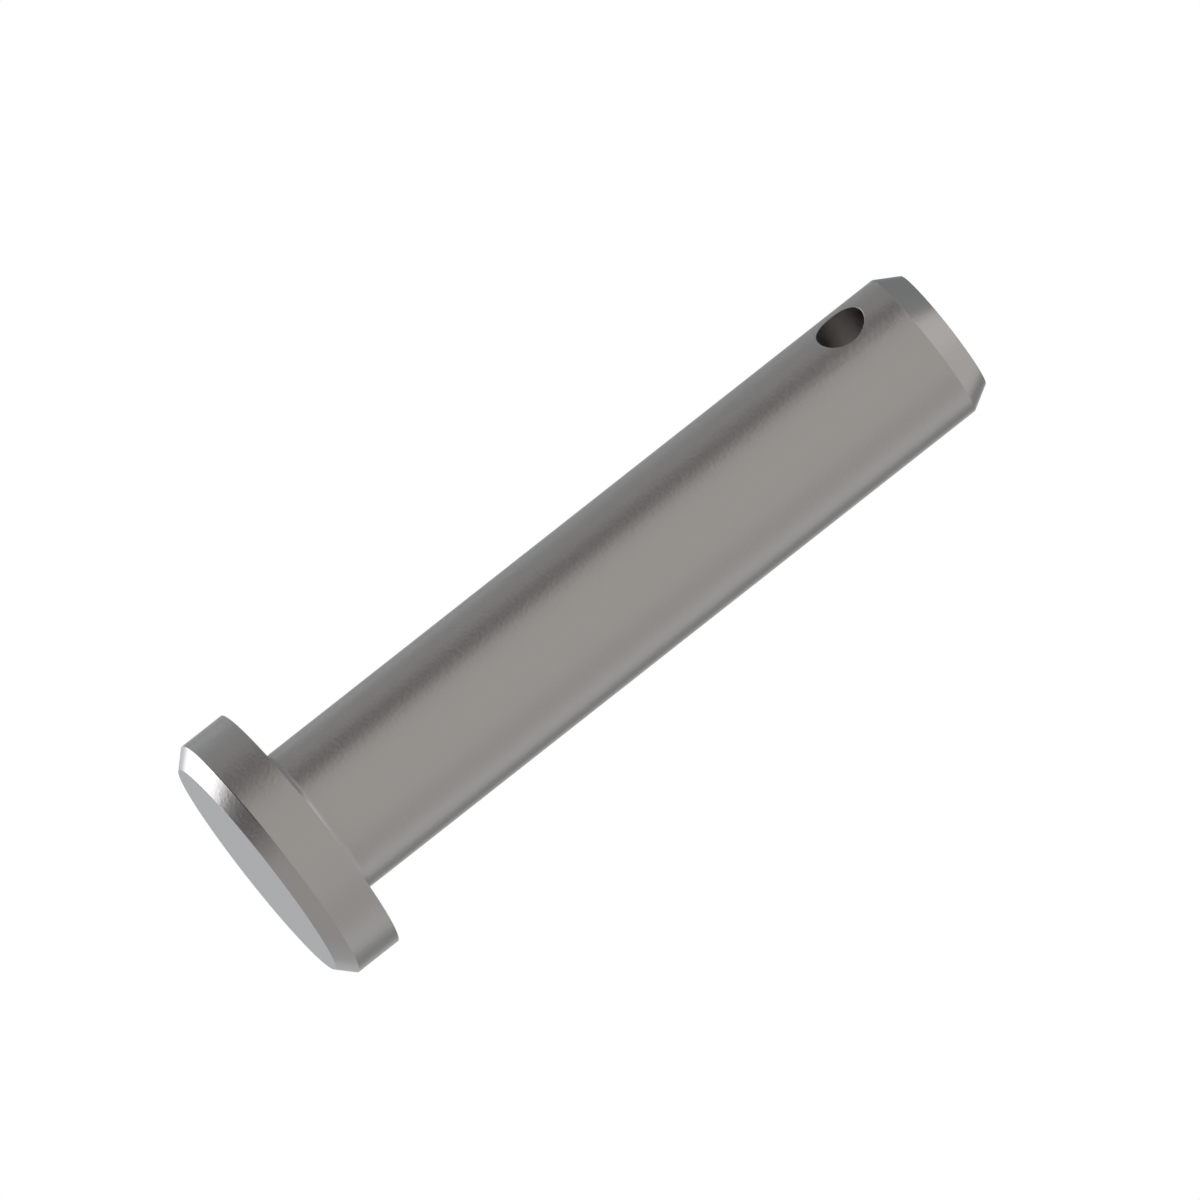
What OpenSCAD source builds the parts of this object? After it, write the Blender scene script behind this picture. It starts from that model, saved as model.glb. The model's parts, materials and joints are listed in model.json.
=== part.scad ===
// Headed pivot pin with a cross hole for a split pin, turned from one bar.
// The pin stands on its head. Z runs along its axis, from the outer face of the head at zero up to the tip.
// The cross hole runs along Y. All lengths are in millimetres and all angles in degrees.

/* [Shank] */
// Diameter of the shank, in the middle of the clearance class for a 10 mm bore
shank_d = 9.88; // [8:0.01:12]
// Length from the underside of the head to the end of the tip
shank_length = 48; // [25:0.5:90]

/* [Head] */
// Diameter of the head
head_d = 17; // [15:0.1:22]
// Thickness of the head, from its outer face to its underside
head_thickness = 4; // [2.5:0.1:8]
// Leg of the 45 degree chamfer around the outer face of the head
head_chamfer = 1; // [0.2:0.05:1.5]

/* [Neck] */
// Radius of the fillet where the shank runs into the underside of the head
neck_radius = 0.7; // [0.2:0.05:1]

/* [Tip] */
// Length of the lead-in cone, measured along the pin
tip_length = 1.5; // [0.5:0.1:3]
// Angle between the lead-in cone and the axis of the pin
tip_angle = 30; // [15:1:45]

/* [Cross hole] */
// Diameter of the hole for the split pin
hole_d = 3.2; // [2:0.1:4]
// Distance from the centre line of the hole to the end of the tip
hole_to_end = 5; // [4:0.1:12]

/* [Hidden] */
$fn = 128;
shank_r = shank_d / 2;
head_r = head_d / 2;
pin_length = head_thickness + shank_length;
// Radius of the flat end of the tip, where the lead-in cone stops
tip_r = shank_r - tip_length * tan(tip_angle);
hole_z = pin_length - hole_to_end;
// How far a cutter runs past the surface that it cuts, and a blended piece into its neighbour
overlap = 0.5;

// Half section of the head: a flat disc with a chamfered outer edge
module head_section() {
    polygon([
        [0, 0],
        [head_r - head_chamfer, 0],
        [head_r, head_chamfer],
        [head_r, head_thickness],
        [0, head_thickness]
    ]);
}

// Half section of the shank, which runs up through the head and ends in the lead-in cone
module shank_section() {
    polygon([
        [0, 0],
        [shank_r, 0],
        [shank_r, pin_length - tip_length],
        [tip_r, pin_length],
        [0, pin_length]
    ]);
}

// Half section of the fillet: the corner of a square less a quarter circle, tangent to shank and head
module neck_section() {
    difference() {
        translate([shank_r - overlap, head_thickness - overlap])
            square(neck_radius + overlap);
        translate([shank_r + neck_radius, head_thickness + neck_radius])
            circle(r = neck_radius);
    }
}

// The turned blank, before drilling
module turned_blank() {
    rotate_extrude()
        union() {
            head_section();
            shank_section();
            neck_section();
        }
}

// The drill's path, straight through the shank along Y
module cross_hole() {
    translate([0, 0, hole_z])
        rotate([90, 0, 0])
            cylinder(d = hole_d, h = shank_d + 2 * overlap, center = true);
}

module pivot_pin() {
    color([0.58, 0.57, 0.55])
        difference() {
            turned_blank();
            cross_hole();
        }
}

pivot_pin();
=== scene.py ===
"""A headed pivot pin in satin steel, turned from bar and cross-drilled for a split pin.

The pin stands on its head at the origin, with Z along its axis and the cross hole along Y.
The pin is worked in millimetres and brought to metres when its mesh is done. The studio is in metres.
"""

import json
import logging
import math
from dataclasses import dataclass
from enum import Enum

import bmesh
import bpy
from mathutils import Matrix, Quaternion, Vector

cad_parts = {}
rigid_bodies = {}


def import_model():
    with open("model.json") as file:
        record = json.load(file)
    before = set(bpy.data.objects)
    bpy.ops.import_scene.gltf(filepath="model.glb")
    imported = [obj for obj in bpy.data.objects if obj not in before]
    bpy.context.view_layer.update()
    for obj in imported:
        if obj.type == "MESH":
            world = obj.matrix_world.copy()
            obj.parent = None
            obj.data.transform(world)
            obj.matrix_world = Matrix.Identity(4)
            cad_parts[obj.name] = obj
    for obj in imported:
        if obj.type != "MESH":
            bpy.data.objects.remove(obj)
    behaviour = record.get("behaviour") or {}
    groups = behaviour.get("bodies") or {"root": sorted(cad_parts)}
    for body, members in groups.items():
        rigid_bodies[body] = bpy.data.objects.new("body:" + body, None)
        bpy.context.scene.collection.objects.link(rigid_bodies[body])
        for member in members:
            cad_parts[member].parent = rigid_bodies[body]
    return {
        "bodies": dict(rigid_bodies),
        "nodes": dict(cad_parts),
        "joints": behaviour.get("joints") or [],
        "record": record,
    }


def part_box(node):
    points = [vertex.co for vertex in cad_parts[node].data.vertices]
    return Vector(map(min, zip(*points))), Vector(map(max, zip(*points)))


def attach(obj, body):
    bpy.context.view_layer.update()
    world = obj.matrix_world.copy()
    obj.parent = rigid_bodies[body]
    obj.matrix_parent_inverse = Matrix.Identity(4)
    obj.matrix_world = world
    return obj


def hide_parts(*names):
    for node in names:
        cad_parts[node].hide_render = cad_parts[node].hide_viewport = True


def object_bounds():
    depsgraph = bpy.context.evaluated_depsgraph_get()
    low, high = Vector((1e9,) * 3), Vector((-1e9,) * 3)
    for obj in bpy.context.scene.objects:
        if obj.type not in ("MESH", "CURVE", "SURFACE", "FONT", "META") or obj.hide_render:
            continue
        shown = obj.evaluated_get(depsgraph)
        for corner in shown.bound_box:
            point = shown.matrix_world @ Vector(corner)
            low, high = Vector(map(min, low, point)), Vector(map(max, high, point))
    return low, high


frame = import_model()
CAD_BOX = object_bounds()

MM = 0.001
NODE = "pivot_pin"
BODY = "root"
# Points of the pin closer than this, in millimetres, are one point
TOUCHING = 0.001

log = logging.getLogger("pivot_pin")

Colour = tuple[float, float, float]
Sockets = list[tuple[str, str]]


def direction(turn: float, rise: float) -> Vector:
    """Gives the direction from the pin to a place round it.

    Args:
        turn: degrees round the pin from the -Y side, towards +X.
        rise: degrees above the horizontal.

    Returns:
        The direction, as a unit vector.
    """
    round_z, up = math.radians(turn), math.radians(rise)
    return Vector((math.sin(round_z) * math.cos(up), -math.cos(round_z) * math.cos(up), math.sin(up)))


def add_object(name: str, data: bpy.types.ID) -> bpy.types.Object:
    """Puts a mesh or a camera into the scene.

    Args:
        name: the object's name.
        data: its mesh or camera.

    Returns:
        The object.
    """
    made = bpy.data.objects.new(name, data)
    bpy.context.scene.collection.objects.link(made)
    return made


def mesh_of(name: str, bm: bmesh.types.BMesh) -> bpy.types.Mesh:
    """Turns a finished bmesh into a mesh.

    Args:
        name: the mesh's name.
        bm: the shape, which is freed.

    Returns:
        The mesh.
    """
    mesh = bpy.data.meshes.new(name)
    bm.to_mesh(mesh)
    bm.free()
    return mesh


class Surface(Enum):
    """The two finishes on the pin, numbered as its material slots are."""

    TURNED = 0
    DRILLED = 1


@dataclass(frozen=True)
class PinSizes:
    """The pin's dimensions, in millimetres and degrees.

    The head's chamfer, the lead-in angle and the edge breaks are set here. The rest come from the frame.
    """

    length: float
    head_radius: float
    head_thickness: float
    shank_radius: float
    neck_radius: float
    tip_length: float
    hole_radius: float
    hole_height: float
    head_chamfer: float = 1.0
    tip_angle: float = 30.0
    turned_break: float = 0.03
    mouth_break: float = 0.015

    @classmethod
    def from_frame(cls, packed: dict) -> "PinSizes":
        """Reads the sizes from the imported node's box and from its mounts.


        Returns:
            The sizes of the pin that was packed.
        """
        low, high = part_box(NODE)
        mounts = {mount["name"]: mount for mount in packed["record"]["mounts"]}
        shank, hole = mounts["shank"], mounts["split_pin_hole"]
        shoulder = mounts["head_underside"]["pos_m"][2] / MM
        wall_middle = shank["pos_m"][2] / MM
        half_wall = shank["dims"]["length_mm"] / 2
        length = (high.z - low.z) / MM
        return cls(
            length=length,
            head_radius=high.x / MM,
            head_thickness=shoulder,
            shank_radius=shank["dims"]["r_mm"],
            neck_radius=wall_middle - half_wall - shoulder,
            tip_length=length - wall_middle - half_wall,
            hole_radius=hole["dims"]["r_mm"],
            hole_height=hole["pos_m"][2] / MM,
        )

    @property
    def tip_radius(self) -> float:
        """Radius of the flat end of the tip, where the lead-in cone stops."""
        return self.shank_radius - self.tip_length * math.tan(math.radians(self.tip_angle))


@dataclass
class PivotPin:
    """The pin as one closed mesh: a half section spun about Z, then drilled and its edges broken.

    The fields say how finely each stretch is divided. The window is the patch of shank that is cut out on
    each side for the hole. The collar's rings fill it again, and each goes collar_step of the way that is
    left to the hole.
    """

    sizes: PinSizes
    turns: int = 256
    window_columns: int = 40
    window_rows: int = 22
    window_height: float = 4.8
    face_rings: int = 6
    chamfer_rings: int = 2
    rim_rings: int = 4
    underside_rings: int = 4
    shank_rings: int = 24
    shank_end_rings: int = 2
    collar_rings: int = 5
    collar_step: float = 0.35
    neck_steps: int = 12
    break_steps: int = 3
    wall_rings: int = 12
    corner_angle: float = 25.0

    def build(self) -> bpy.types.Object:
        """Makes the pin's object.

        Returns:
            The finished pin, with its place in its mesh.
        """
        bm = bmesh.new()
        self._spin_section(bm)
        self._fillet_neck(bm)
        self._drill(bm)
        self._break_edges(bm)
        bmesh.ops.recalc_face_normals(bm, faces=bm.faces)
        return add_object("pivot_pin_turned", self._to_metres(bm))

    def _spin_section(self, bm: bmesh.types.BMesh) -> None:
        """Draws the half section, from the middle of the head to the middle of the tip, and spins it.

        Args:
            bm: the mesh to draw into.
        """
        s = self.sizes
        half_window = self.window_height / 2
        corners = [
            (0.0, 0.0),
            (s.head_radius - s.head_chamfer, 0.0),
            (s.head_radius, s.head_chamfer),
            (s.head_radius, s.head_thickness),
            (s.shank_radius, s.head_thickness),
            (s.shank_radius, s.hole_height - half_window),
            (s.shank_radius, s.hole_height + half_window),
            (s.shank_radius, s.length - s.tip_length),
            (s.tip_radius, s.length),
            (0.0, s.length),
        ]
        rings = [
            self.face_rings,
            self.chamfer_rings,
            self.rim_rings,
            self.underside_rings,
            self.shank_rings,
            self.window_rows,
            self.shank_end_rings,
            self.chamfer_rings,
            self.face_rings,
        ]
        points = [bm.verts.new((radius, 0.0, height)) for radius, height in corners]
        lines = [bm.edges.new(ends) for ends in zip(points, points[1:])]
        for line, count in zip(lines, rings):
            bmesh.ops.subdivide_edges(bm, edges=[line], cuts=count - 1)
        bmesh.ops.spin(
            bm,
            geom=bm.verts[:] + bm.edges[:],
            axis=(0.0, 0.0, 1.0),
            cent=(0.0, 0.0, 0.0),
            steps=self.turns,
            angle=math.tau,
            use_merge=True,
        )
        bmesh.ops.remove_doubles(bm, verts=bm.verts, dist=TOUCHING)
        bmesh.ops.recalc_face_normals(bm, faces=bm.faces)

    def _fillet_neck(self, bm: bmesh.types.BMesh) -> None:
        """Rounds the corner where the shank meets the underside of the head.

        Args:
            bm: the spun blank.
        """
        s = self.sizes
        corner = [
            edge
            for edge in bm.edges
            if all(
                math.isclose(vert.co.z, s.head_thickness, abs_tol=TOUCHING)
                and math.isclose(vert.co.xy.length, s.shank_radius, abs_tol=TOUCHING)
                for vert in edge.verts
            )
        ]
        self._bevel(bm, corner, s.neck_radius, self.neck_steps)

    def _drill(self, bm: bmesh.types.BMesh) -> None:
        """Opens a window on each side of the shank, closes it in on the hole and joins the two mouths.

        Args:
            bm: the blank with its fillet.
        """
        s = self.sizes
        half_height = self.window_height / 2
        half_angle = math.pi * self.window_columns / self.turns
        window = []
        for face in bm.faces:
            middle = face.calc_center_median()
            turned = abs(math.atan2(middle.x, abs(middle.y)))
            if abs(middle.z - s.hole_height) < half_height and turned < half_angle:
                window.append(face)
        bmesh.ops.delete(bm, geom=window, context="FACES")
        mouths = []
        for side in (-1, 1):
            ring = [edge for edge in bm.edges if edge.is_boundary and edge.verts[0].co.y * side > 0]
            mouths += self._collar(bm, ring, side)
        wall = set(bmesh.ops.bridge_loops(bm, edges=mouths)["faces"])
        # The wall's edges that run from one mouth to the other
        lengthwise = [
            edge
            for edge in bm.edges
            if wall.issuperset(edge.link_faces) and edge.verts[0].co.y * edge.verts[1].co.y < 0
        ]
        parts = bmesh.ops.subdivide_edges(bm, edges=lengthwise, cuts=self.wall_rings - 1)
        for piece in parts["geom_inner"]:
            if isinstance(piece, bmesh.types.BMVert):
                for face in piece.link_faces:
                    face.material_index = Surface.DRILLED.value

    def _collar(
        self, bm: bmesh.types.BMesh, ring: list[bmesh.types.BMEdge], side: int
    ) -> list[bmesh.types.BMEdge]:
        """Fills a window with rings of faces that close in on the hole and stay on the round shank.

        Args:
            bm: the mesh with the window open.
            ring: the window's edges.
            side: -1 for the mouth towards -Y, 1 for the mouth towards +Y.

        Returns:
            The edges of the hole's mouth on that side.
        """
        s = self.sizes
        for step in range(self.collar_rings + 1):
            share = 1.0 if step == self.collar_rings else self.collar_step
            made = bmesh.ops.extrude_edge_only(bm, edges=ring)["geom"]
            verts = {piece for piece in made if isinstance(piece, bmesh.types.BMVert)}
            edges = [piece for piece in made if isinstance(piece, bmesh.types.BMEdge)]
            ring = [edge for edge in edges if verts.issuperset(edge.verts)]
            for vert in verts:
                out = Vector((vert.co.x, vert.co.z - s.hole_height))
                out = out.normalized() * (out.length + (s.hole_radius - out.length) * share)
                depth = math.sqrt(s.shank_radius**2 - out.x**2)
                vert.co = (out.x, side * depth, s.hole_height + out.y)
        return ring

    def _break_edges(self, bm: bmesh.types.BMesh) -> None:
        """Takes the sharpness off every corner, as tumbling does.

        Args:
            bm: the drilled pin.
        """
        sharp = math.radians(self.corner_angle)
        corners = [edge for edge in bm.edges if edge.is_manifold and edge.calc_face_angle() > sharp]
        drilled = Surface.DRILLED.value
        mouths = [
            edge for edge in corners if any(face.material_index == drilled for face in edge.link_faces)
        ]
        turned = [edge for edge in corners if edge not in mouths]
        self._bevel(bm, turned, self.sizes.turned_break, self.break_steps)
        self._bevel(bm, mouths, self.sizes.mouth_break, self.break_steps)

    @staticmethod
    def _to_metres(bm: bmesh.types.BMesh) -> bpy.types.Mesh:
        """Makes the finished mesh, with normals that keep flats and rounds true up to their broken edges.

        The normals are weighted by face area in millimetres, because in metres the areas are too small.

        Args:
            bm: the finished pin, which is freed.

        Returns:
            The mesh, in metres.
        """
        mesh = mesh_of("pivot_pin_draft", bm)
        mesh.shade_smooth()
        draft = add_object("pivot_pin_draft", mesh)
        draft.modifiers.new("true_flats", "WEIGHTED_NORMAL").mode = "FACE_AREA"
        graph = bpy.context.evaluated_depsgraph_get()
        finished = bpy.data.meshes.new_from_object(draft.evaluated_get(graph), depsgraph=graph)
        finished.name = "pivot_pin_turned"
        finished.transform(Matrix.Scale(MM, 4))
        bpy.data.objects.remove(draft)
        bpy.data.meshes.remove(mesh)
        return finished

    @staticmethod
    def _bevel(bm: bmesh.types.BMesh, edges: list[bmesh.types.BMEdge], size: float, steps: int) -> None:
        """Rounds edges, with the settings that a hand-made bevel has.

        Args:
            bm: the mesh.
            edges: the edges to round.
            size: how far from the edge the round starts.
            steps: how many faces make up the round.
        """
        bmesh.ops.bevel(
            bm,
            geom=edges,
            offset=size,
            offset_type="OFFSET",
            segments=steps,
            profile=0.5,
            affect="EDGES",
            clamp_overlap=False,
            material=-1,
        )


class ShaderGroups:
    """The shader node groups that the finishes and the cards share, each built once."""

    # How many finer octaves the two noises have
    grain_detail: float = 0.0
    drift_detail: float = 3.0
    # How square a card's corners are: 2 would make the card an ellipse
    corner_power: float = 4.0

    def __init__(self) -> None:
        """Builds every group."""
        self.grain = self._grain()
        self.feather = self._feather()

    @staticmethod
    def _new(name: str, inputs: Sockets, outputs: Sockets) -> bpy.types.NodeTree:
        """Makes an empty group with its sockets.

        Args:
            name: the group's name.
            inputs: name and socket type of each input.
            outputs: name and socket type of each output.

        Returns:
            The group, holding only its input and output nodes.
        """
        group = bpy.data.node_groups.new(name, "ShaderNodeTree")
        for label, kind in inputs:
            group.interface.new_socket(label, in_out="INPUT", socket_type=kind)
        for label, kind in outputs:
            group.interface.new_socket(label, in_out="OUTPUT", socket_type=kind)
        group.nodes.new("NodeGroupInput").name = "in"
        group.nodes.new("NodeGroupOutput").name = "out"
        return group

    def _grain(self) -> bpy.types.NodeTree:
        """The fine satin grain: a height for bump, and a slow drift for the colour and the gloss.

        Returns:
            The group.
        """
        number = "NodeSocketFloat"
        group = self._new(
            "satin_grain",
            [
                ("Vector", "NodeSocketVector"),
                ("Grain Scale", number),
                ("Drift Scale", number),
            ],
            [("Height", number), ("Drift", number)],
        )
        nodes, links = group.nodes, group.links
        source, out = nodes["in"], nodes["out"]

        def noise(layer: int, scale: str, detail: float) -> bpy.types.NodeSocket:
            """Adds a noise.

            Args:
                layer: which of the unlike noises it is.
                scale: the input that sets its scale.
                detail: how many finer octaves it has.

            Returns:
                Its output.
            """
            texture = nodes.new("ShaderNodeTexNoise")
            texture.noise_dimensions = "4D"
            texture.inputs["W"].default_value = layer
            texture.inputs["Detail"].default_value = detail
            links.new(source.outputs["Vector"], texture.inputs["Vector"])
            links.new(source.outputs[scale], texture.inputs["Scale"])
            return texture.outputs["Fac"]

        links.new(noise(0, "Grain Scale", self.grain_detail), out.inputs["Height"])
        links.new(noise(1, "Drift Scale", self.drift_detail), out.inputs["Drift"])
        return group

    def _feather(self) -> bpy.types.NodeTree:
        """The mask that fades a card out towards its edges and rounds its corners.

        Returns:
            The group.
        """
        number = "NodeSocketFloat"
        group = self._new("card_feather", [("Feather", number)], [("Mask", number)])
        nodes, links = group.nodes, group.links
        source, out = nodes["in"], nodes["out"]
        place = nodes.new("ShaderNodeTexCoord")
        axes = nodes.new("ShaderNodeSeparateXYZ")
        links.new(place.outputs["Object"], axes.inputs["Vector"])

        def maths(operation: str, *values: bpy.types.NodeSocket | float) -> bpy.types.NodeSocket:
            """Adds a Math node.

            Args:
                operation: what it does.
                values: a socket or a number for each of its inputs.

            Returns:
                Its output.
            """
            node = nodes.new("ShaderNodeMath")
            node.operation = operation
            for slot, value in zip(node.inputs, values):
                if isinstance(value, bpy.types.NodeSocket):
                    links.new(value, slot)
                else:
                    slot.default_value = value
            return node.outputs["Value"]

        across = maths("POWER", maths("ABSOLUTE", axes.outputs["X"]), self.corner_power)
        along = maths("POWER", maths("ABSOLUTE", axes.outputs["Y"]), self.corner_power)
        reach = maths("POWER", maths("ADD", across, along), 1.0 / self.corner_power)
        fade = nodes.new("ShaderNodeMapRange")
        fade.interpolation_type = "SMOOTHSTEP"
        links.new(reach, fade.inputs["Value"])
        links.new(maths("SUBTRACT", 1.0, source.outputs["Feather"]), fade.inputs["From Min"])
        links.new(maths("ADD", 1.0, source.outputs["Feather"]), fade.inputs["From Max"])
        fade.inputs["To Min"].default_value = 1.0
        fade.inputs["To Max"].default_value = 0.0
        links.new(fade.outputs["Result"], out.inputs["Mask"])
        return group


@dataclass(frozen=True)
class SteelFinish:
    """One finish of bare steel. Grain and drift scales are in repeats to the metre."""

    name: str
    colour: Colour
    dark_colour: Colour
    roughness: float
    roughness_drift: float
    grain_scale: float
    grain_depth: float
    drift_scale: float = 160.0
    edge_tint: float = 0.7
    metallic: float = 1.0

    def material(self, groups: ShaderGroups) -> bpy.types.Material:
        """Builds the finish as a material.

        Args:
            groups: the shared node groups.

        Returns:
            The material.
        """
        made = bpy.data.materials.new(self.name)
        made.use_nodes = True
        nodes, links = made.node_tree.nodes, made.node_tree.links
        metal = next(node for node in nodes if node.type == "BSDF_PRINCIPLED")
        metal.inputs["Metallic"].default_value = self.metallic
        metal.inputs["Specular Tint"].default_value = (self.edge_tint,) * 3 + (1.0,)
        place = nodes.new("ShaderNodeTexCoord")
        grain = nodes.new("ShaderNodeGroup")
        grain.node_tree = groups.grain
        grain.inputs["Grain Scale"].default_value = self.grain_scale
        grain.inputs["Drift Scale"].default_value = self.drift_scale
        links.new(place.outputs["Object"], grain.inputs["Vector"])
        colour = nodes.new("ShaderNodeMix")
        colour.data_type = "RGBA"
        colour.inputs["A"].default_value = self.dark_colour + (1.0,)
        colour.inputs["B"].default_value = self.colour + (1.0,)
        links.new(grain.outputs["Drift"], colour.inputs["Factor"])
        links.new(colour.outputs["Result"], metal.inputs["Base Color"])
        rough = nodes.new("ShaderNodeMapRange")
        rough.inputs["To Min"].default_value = self.roughness - self.roughness_drift
        rough.inputs["To Max"].default_value = self.roughness + self.roughness_drift
        links.new(grain.outputs["Drift"], rough.inputs["Value"])
        links.new(rough.outputs["Result"], metal.inputs["Roughness"])
        bump = nodes.new("ShaderNodeBump")
        bump.inputs["Strength"].default_value = 1.0
        bump.inputs["Distance"].default_value = self.grain_depth
        links.new(grain.outputs["Height"], bump.inputs["Height"])
        links.new(bump.outputs["Normal"], metal.inputs["Normal"])
        return made


SATIN = SteelFinish(
    name="satin_turned_steel",
    colour=(0.308, 0.292, 0.277),
    dark_colour=(0.304, 0.288, 0.273),
    roughness=0.28,
    roughness_drift=0.005,
    grain_scale=4500.0,
    grain_depth=0.006 * MM,
)
# The hole's wall: drilled steel whose colour, nearly twice as light as the turned steel's, is painted light
# that brightens the shaded inside of the hole
BORE = SteelFinish(
    name="drilled_steel_painted_light",
    colour=(0.56, 0.54, 0.523),
    dark_colour=(0.54, 0.52, 0.503),
    roughness=0.30,
    roughness_drift=0.02,
    grain_scale=3000.0,
    grain_depth=0.006 * MM,
)


@dataclass(frozen=True)
class PhotoCamera:
    """The photograph's view of the pin: square on, from the side, with the head's face just in sight."""

    azimuth: float = 53.44
    elevation: float = -5.6
    pin_rise: float = 38.18
    picture_px: float = 1200.0
    px_per_mm: float = 16.87
    head_px: tuple[float, float] = (256.9, 869.8)
    distance: float = 0.5
    nearest: float = 0.001
    farthest: float = 10.0

    @property
    def towards_viewer(self) -> Vector:
        """Unit vector from the pin to the camera."""
        return direction(self.azimuth, self.elevation)

    def build(self) -> bpy.types.Object:
        """Makes the camera and sets it as the scene's.

        Returns:
            The camera's object.
        """
        lens = bpy.data.cameras.new("photo_camera")
        lens.type = "ORTHO"
        lens.ortho_scale = self.picture_px / self.px_per_mm * MM
        lens.clip_start = self.nearest
        lens.clip_end = self.farthest
        camera = add_object("photo_camera", lens)
        back = self.towards_viewer
        roll = Quaternion(back, math.radians(90.0 - self.pin_rise))
        turned = roll @ back.to_track_quat("Z", "Y")
        right, up = turned @ Vector((1, 0, 0)), turned @ Vector((0, 1, 0))
        metres_per_px = MM / self.px_per_mm
        middle = self.picture_px / 2
        across = (middle - self.head_px[0]) * metres_per_px
        rise = (self.head_px[1] - middle) * metres_per_px
        place = right * across + up * rise + back * self.distance
        camera.matrix_world = Matrix.LocRotScale(place, turned, None)
        bpy.context.scene.camera = camera
        return camera


@dataclass(frozen=True)
class Card:
    """A feathered panel that the metal reflects. Angles are in degrees.

    turn is counted round the pin from the camera's side, and rise from the horizontal. roll turns the panel
    about the line to the pin. half_width and half_height are how far it reaches as seen from the pin, and
    feather is how far its edges fade to either side of there, as a share of its half size.
    """

    name: str
    turn: float
    rise: float
    roll: float
    half_width: float
    half_height: float
    feather: float
    colour: Colour


# Upper and lower are as the photograph shows the pin
CARDS = (
    # Cools the head's outer face
    Card(
        "back_wash", turn=180, rise=-24, roll=0, half_width=62, half_height=20, feather=0.3,
        colour=(0.93, 0.97, 1.03),
    ),
    # Shades the lower side of the head's chamfer, and a little of the shank
    Card(
        "underside_reflector", turn=81, rise=-45, roll=46, half_width=46, half_height=53, feather=0.1,
        colour=(0.828, 0.83, 0.85),
    ),
    # Gives the shank its cool band beside the lower edge
    Card(
        "cool_strip", turn=108, rise=8, roll=0, half_width=10, half_height=34, feather=0.4,
        colour=(1.04, 1.085, 1.115),
    ),
    # Shades the upper side of the shank, the rim and the tip's cone
    Card(
        "grey_flag", turn=-124, rise=59, roll=61, half_width=62, half_height=52, feather=0.25,
        colour=(0.53, 0.565, 0.60),
    ),
    # Brightens the tip's cone and the neck
    Card(
        "overhead_softbox", turn=36, rise=78, roll=14, half_width=54, half_height=21, feather=0.35,
        colour=(1.35, 1.34, 1.35),
    ),
    # Darkens the lower edges of the pin
    Card(
        "back_flag", turn=156, rise=36, roll=-34, half_width=16, half_height=41, feather=0.1,
        colour=(0.54, 0.58, 0.61),
    ),
    # Gives the shank and the rim their dark band, and the chamfer its dark stretch beside the highlight
    Card(
        "black_flag", turn=-70, rise=-36, roll=30, half_width=35, half_height=42, feather=0.55,
        colour=(0.0, 0.0, 0.01),
    ),
    # Brightens the lower end of the chamfer, and a little of the head's outer face
    Card(
        "back_strip", turn=161, rise=-15, roll=-20, half_width=27, half_height=6, feather=0.4,
        colour=(1.26, 1.30, 1.32),
    ),
    # Gives the chamfer its highlight, and the shank and the rim their light upper edge
    Card(
        "key_softbox", turn=-137, rise=-27, roll=71, half_width=27, half_height=23, feather=0.1,
        colour=(4.4, 4.5, 4.8),
    ),
)


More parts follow.
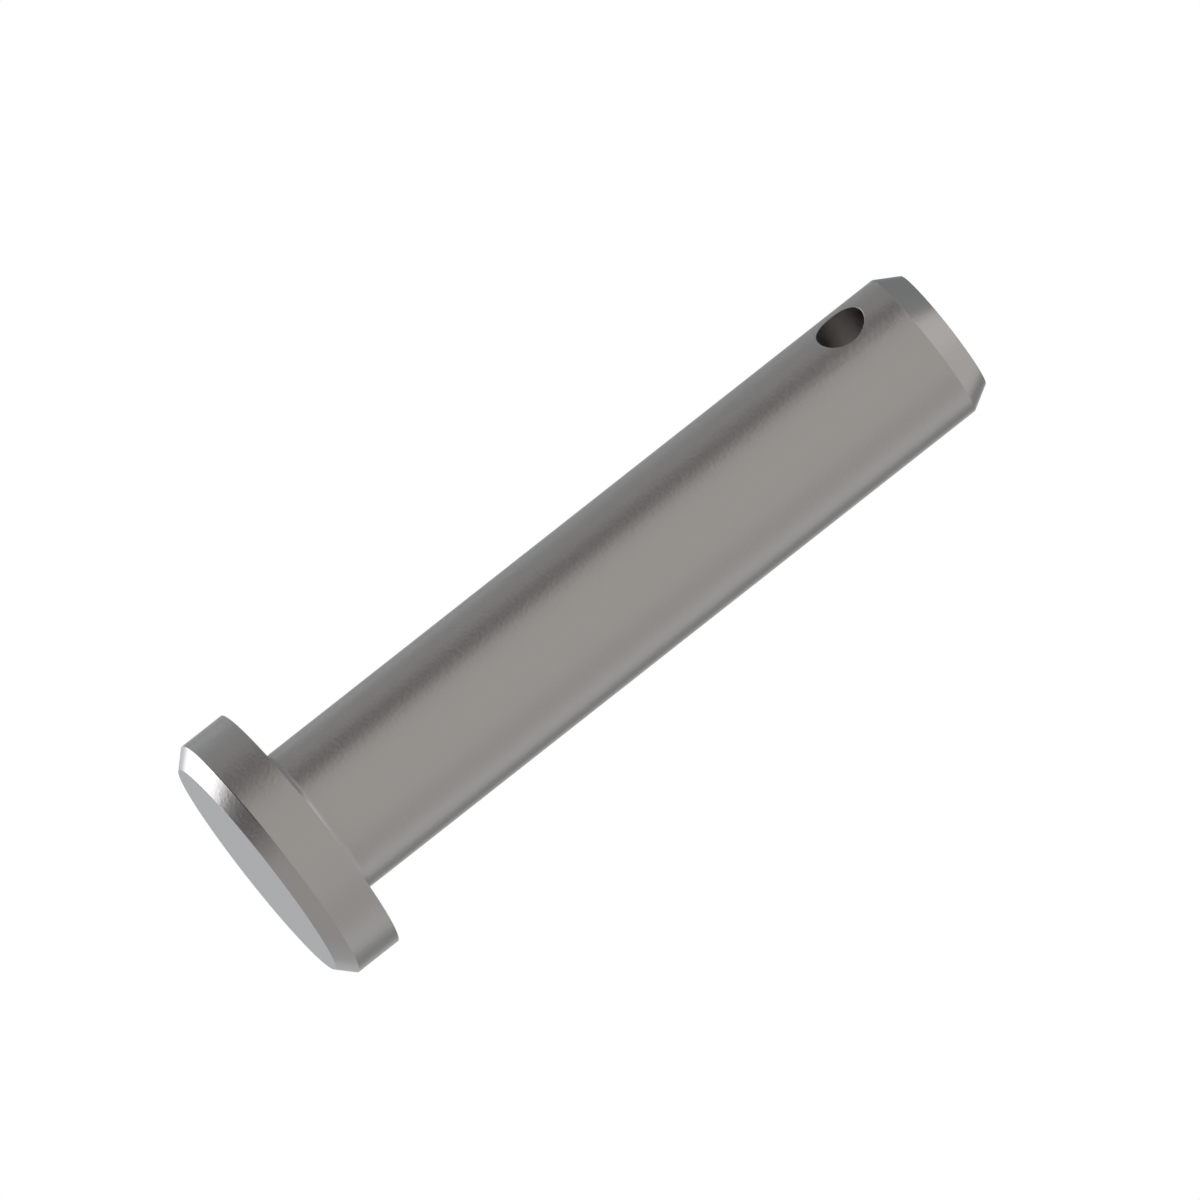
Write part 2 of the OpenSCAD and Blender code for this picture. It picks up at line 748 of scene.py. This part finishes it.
@dataclass(frozen=True)
class Studio:
    """A white tent with a pale floor, and the cards that the metal reflects."""

    viewer_azimuth: float
    floor_radius: float = 0.6
    floor_sides: int = 96
    floor_drop: float = 0.02 * MM
    floor_colour: Colour = (0.9, 0.9, 0.9)
    far_card: float = 3.0
    card_spacing: float = 0.1

    def build(self, groups: ShaderGroups) -> None:
        """Makes the world, the floor and the cards.

        Args:
            groups: the shared node groups.
        """
        self._world()
        self._floor()
        for number, card in enumerate(CARDS):
            self._card(card, self.far_card - number * self.card_spacing, groups)

    @staticmethod
    def _world() -> None:
        """Makes the even white surround, which every ray sees alike."""
        world = bpy.data.worlds.new("white_tent")
        world.use_nodes = True
        background = next(node for node in world.node_tree.nodes if node.type == "BACKGROUND")
        background.inputs["Color"].default_value = (1.0, 1.0, 1.0, 1.0)
        background.inputs["Strength"].default_value = 1.0
        world.cycles.sampling_method = "NONE"
        bpy.context.scene.world = world

    def _floor(self) -> None:
        """Makes the pale floor, which can only be seen from above and which the metal doesn't mirror."""
        bm = bmesh.new()
        bmesh.ops.create_circle(bm, cap_ends=True, segments=self.floor_sides, radius=self.floor_radius)
        bmesh.ops.translate(bm, verts=bm.verts, vec=(0.0, 0.0, -self.floor_drop))
        mesh = mesh_of("floor", bm)
        floor = add_object("floor", mesh)
        floor.visible_glossy = False
        floor.visible_shadow = False
        paint = bpy.data.materials.new("floor_paint")
        paint.use_nodes = True
        nodes, links = paint.node_tree.nodes, paint.node_tree.links
        nodes.clear()
        matt = nodes.new("ShaderNodeBsdfDiffuse")
        matt.inputs["Color"].default_value = self.floor_colour + (1.0,)
        clear = nodes.new("ShaderNodeBsdfTransparent")
        side = nodes.new("ShaderNodeNewGeometry")
        blend = nodes.new("ShaderNodeMixShader")
        out = nodes.new("ShaderNodeOutputMaterial")
        links.new(side.outputs["Backfacing"], blend.inputs["Fac"])
        links.new(matt.outputs["BSDF"], blend.inputs[1])
        links.new(clear.outputs["BSDF"], blend.inputs[2])
        links.new(blend.outputs["Shader"], out.inputs["Surface"])
        mesh.materials.append(paint)

    def _card(self, card: Card, distance: float, groups: ShaderGroups) -> None:
        """Hangs one card round the pin, where only the metal sees it.

        Args:
            card: the card.
            distance: how far it hangs from the pin.
            groups: the shared node groups.
        """
        bm = bmesh.new()
        bmesh.ops.create_grid(bm, x_segments=1, y_segments=1, size=1.0 + card.feather)
        mesh = mesh_of(card.name, bm)
        panel = add_object(card.name, mesh)
        turn = self.viewer_azimuth + card.turn
        outward = direction(turn, card.rise)
        right = direction(turn + 90.0, 0.0)
        facing = Matrix((right, outward.cross(right), outward)).transposed()
        turned = Quaternion(outward, math.radians(card.roll)) @ facing.to_quaternion()
        half_width, half_height = math.radians(card.half_width), math.radians(card.half_height)
        size = Vector((math.tan(half_width), math.tan(half_height), 1.0))
        centre = Vector((0.0, 0.0, (CAD_BOX[0].z + CAD_BOX[1].z) / 2))
        panel.matrix_world = Matrix.LocRotScale(centre + outward * distance, turned, size * distance)
        for flag in ("visible_camera", "visible_diffuse", "visible_shadow", "visible_volume_scatter"):
            setattr(panel, flag, False)
        glow = bpy.data.materials.new(card.name)
        glow.use_nodes = True
        glow.cycles.emission_sampling = "NONE"
        nodes = glow.node_tree.nodes
        sheet = next(node for node in nodes if node.type == "BSDF_PRINCIPLED")
        sheet.inputs["Base Color"].default_value = (0.0, 0.0, 0.0, 1.0)
        sheet.inputs["Specular IOR Level"].default_value = 0.0
        sheet.inputs["Emission Color"].default_value = card.colour + (1.0,)
        sheet.inputs["Emission Strength"].default_value = 1.0
        mask = nodes.new("ShaderNodeGroup")
        mask.node_tree = groups.feather
        mask.inputs["Feather"].default_value = card.feather
        glow.node_tree.links.new(mask.outputs["Mask"], sheet.inputs["Alpha"])
        mesh.materials.append(glow)


def main() -> None:
    """Builds the camera, the studio and the pin."""
    logging.basicConfig(level=logging.INFO, format="%(name)s: %(message)s")
    bpy.context.scene.view_settings.view_transform = "Standard"
    camera = PhotoCamera()
    camera.build()
    groups = ShaderGroups()
    Studio(viewer_azimuth=camera.azimuth).build(groups)
    pin = PivotPin(PinSizes.from_frame(frame)).build()
    pin.data.materials.append(SATIN.material(groups))
    pin.data.materials.append(BORE.material(groups))
    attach(pin, BODY)
    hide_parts(NODE)
    log.info("%s: %d faces", pin.name, len(pin.data.polygons))


if __name__ == "__main__":
    main()
